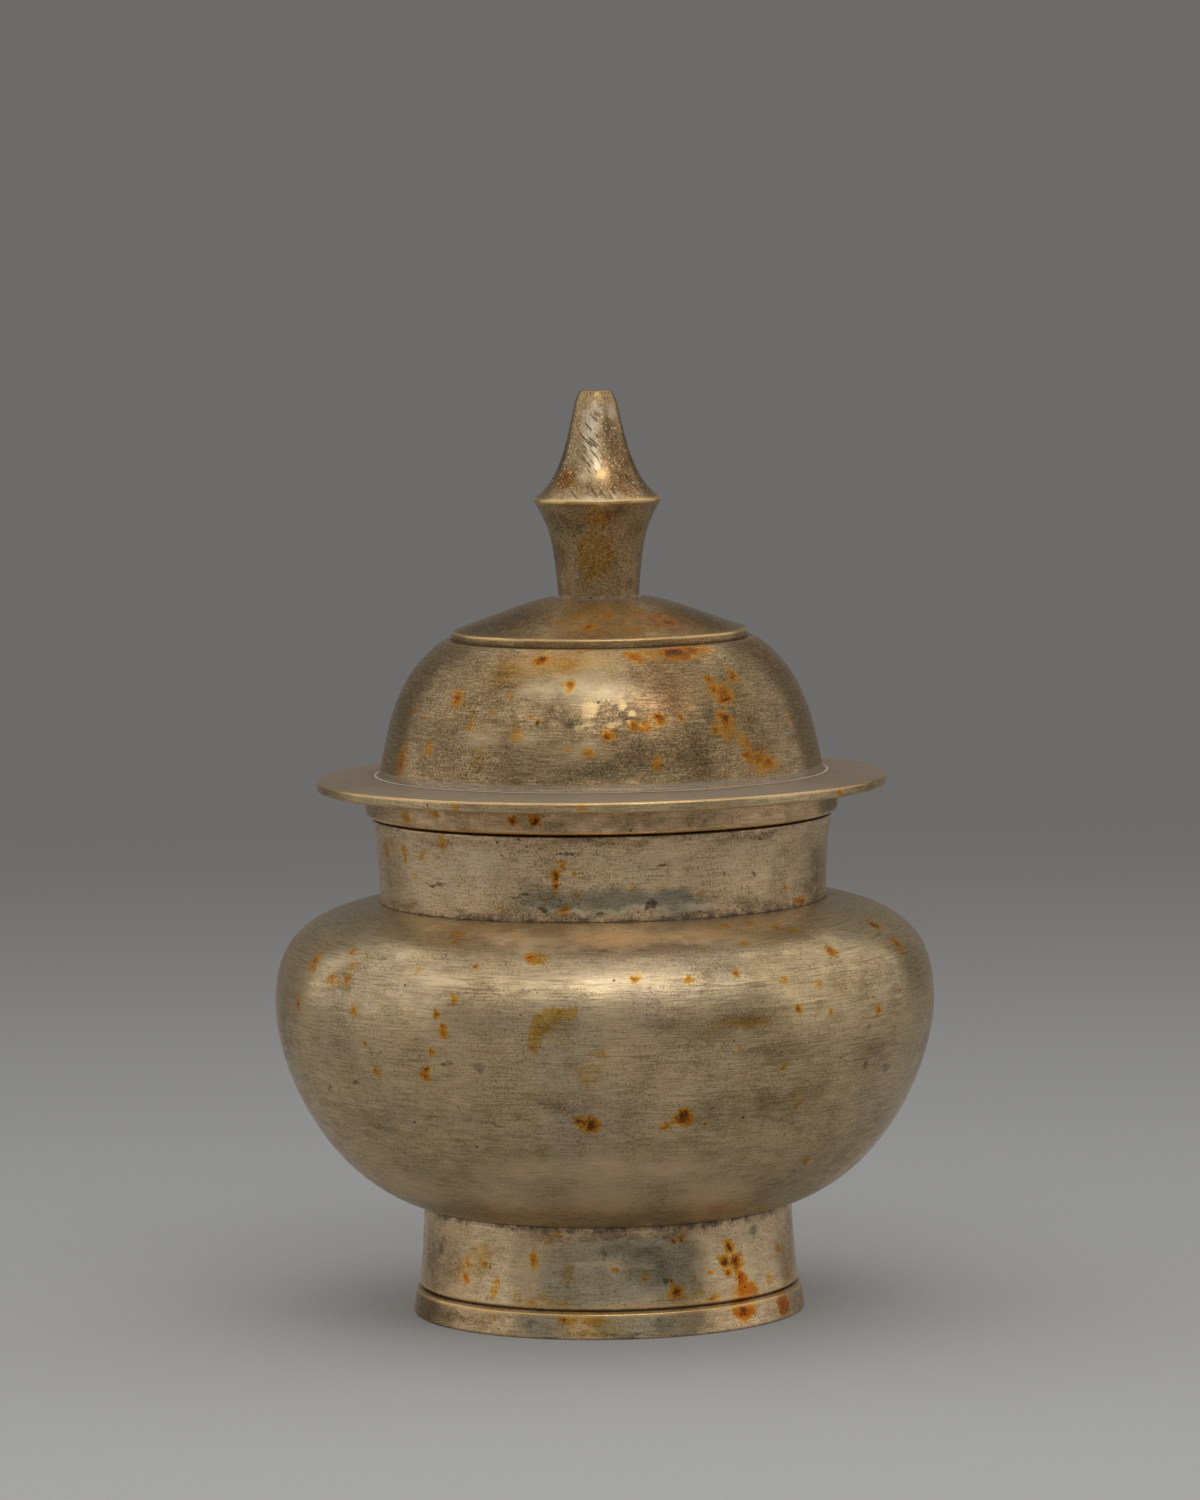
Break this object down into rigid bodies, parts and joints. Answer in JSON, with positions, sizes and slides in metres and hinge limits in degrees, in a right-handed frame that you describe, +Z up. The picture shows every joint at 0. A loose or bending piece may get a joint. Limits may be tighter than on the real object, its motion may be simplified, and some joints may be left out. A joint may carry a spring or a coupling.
{
  "type": "lidded offering pot",
  "caption": "Round-bellied brass offering pot on a ring foot, with a collar neck and a lift-off domed lid that has a wide brim, a stepped cap and a turned finial knob.",
  "frame": {"origin": "centre of the foot's underside, on the surface that the pot stands on", "axes": "+Z up along the axis that every piece is turned about; X and Y lie in the resting plane and are free to turn"},
  "size_m": [0.0894, 0.0894, 0.125],
  "materials": {
    "pot_brass": "aged satin brass with fine turning lines, brown tarnish spots and dark grime in the seams",
    "lid_brass": "aged satin brass with a mottled brown patina and worn bright edges",
    "knob_brass": "aged speckled brass with a bright worn rim",
    "bare_brass": "dull unpolished brass"
  },
  "bodies": {
    "pot": {"belly": "pot_brass", "neck_collar": "pot_brass", "foot_ring": "pot_brass", "base_band": "pot_brass"},
    "lid": {"lid_seat_ring": "lid_brass", "lid_brim": "lid_brass", "lid_dome": "lid_brass", "lid_cap": "lid_brass", "finial": "knob_brass", "tang_washer": "bare_brass"}
  },
  "joints": [
    {"name": "lid_lift", "type": "slide", "parent": "pot", "child": "lid", "axis": [0, 0, 1], "range_m": [0, 0.08]}
  ]
}
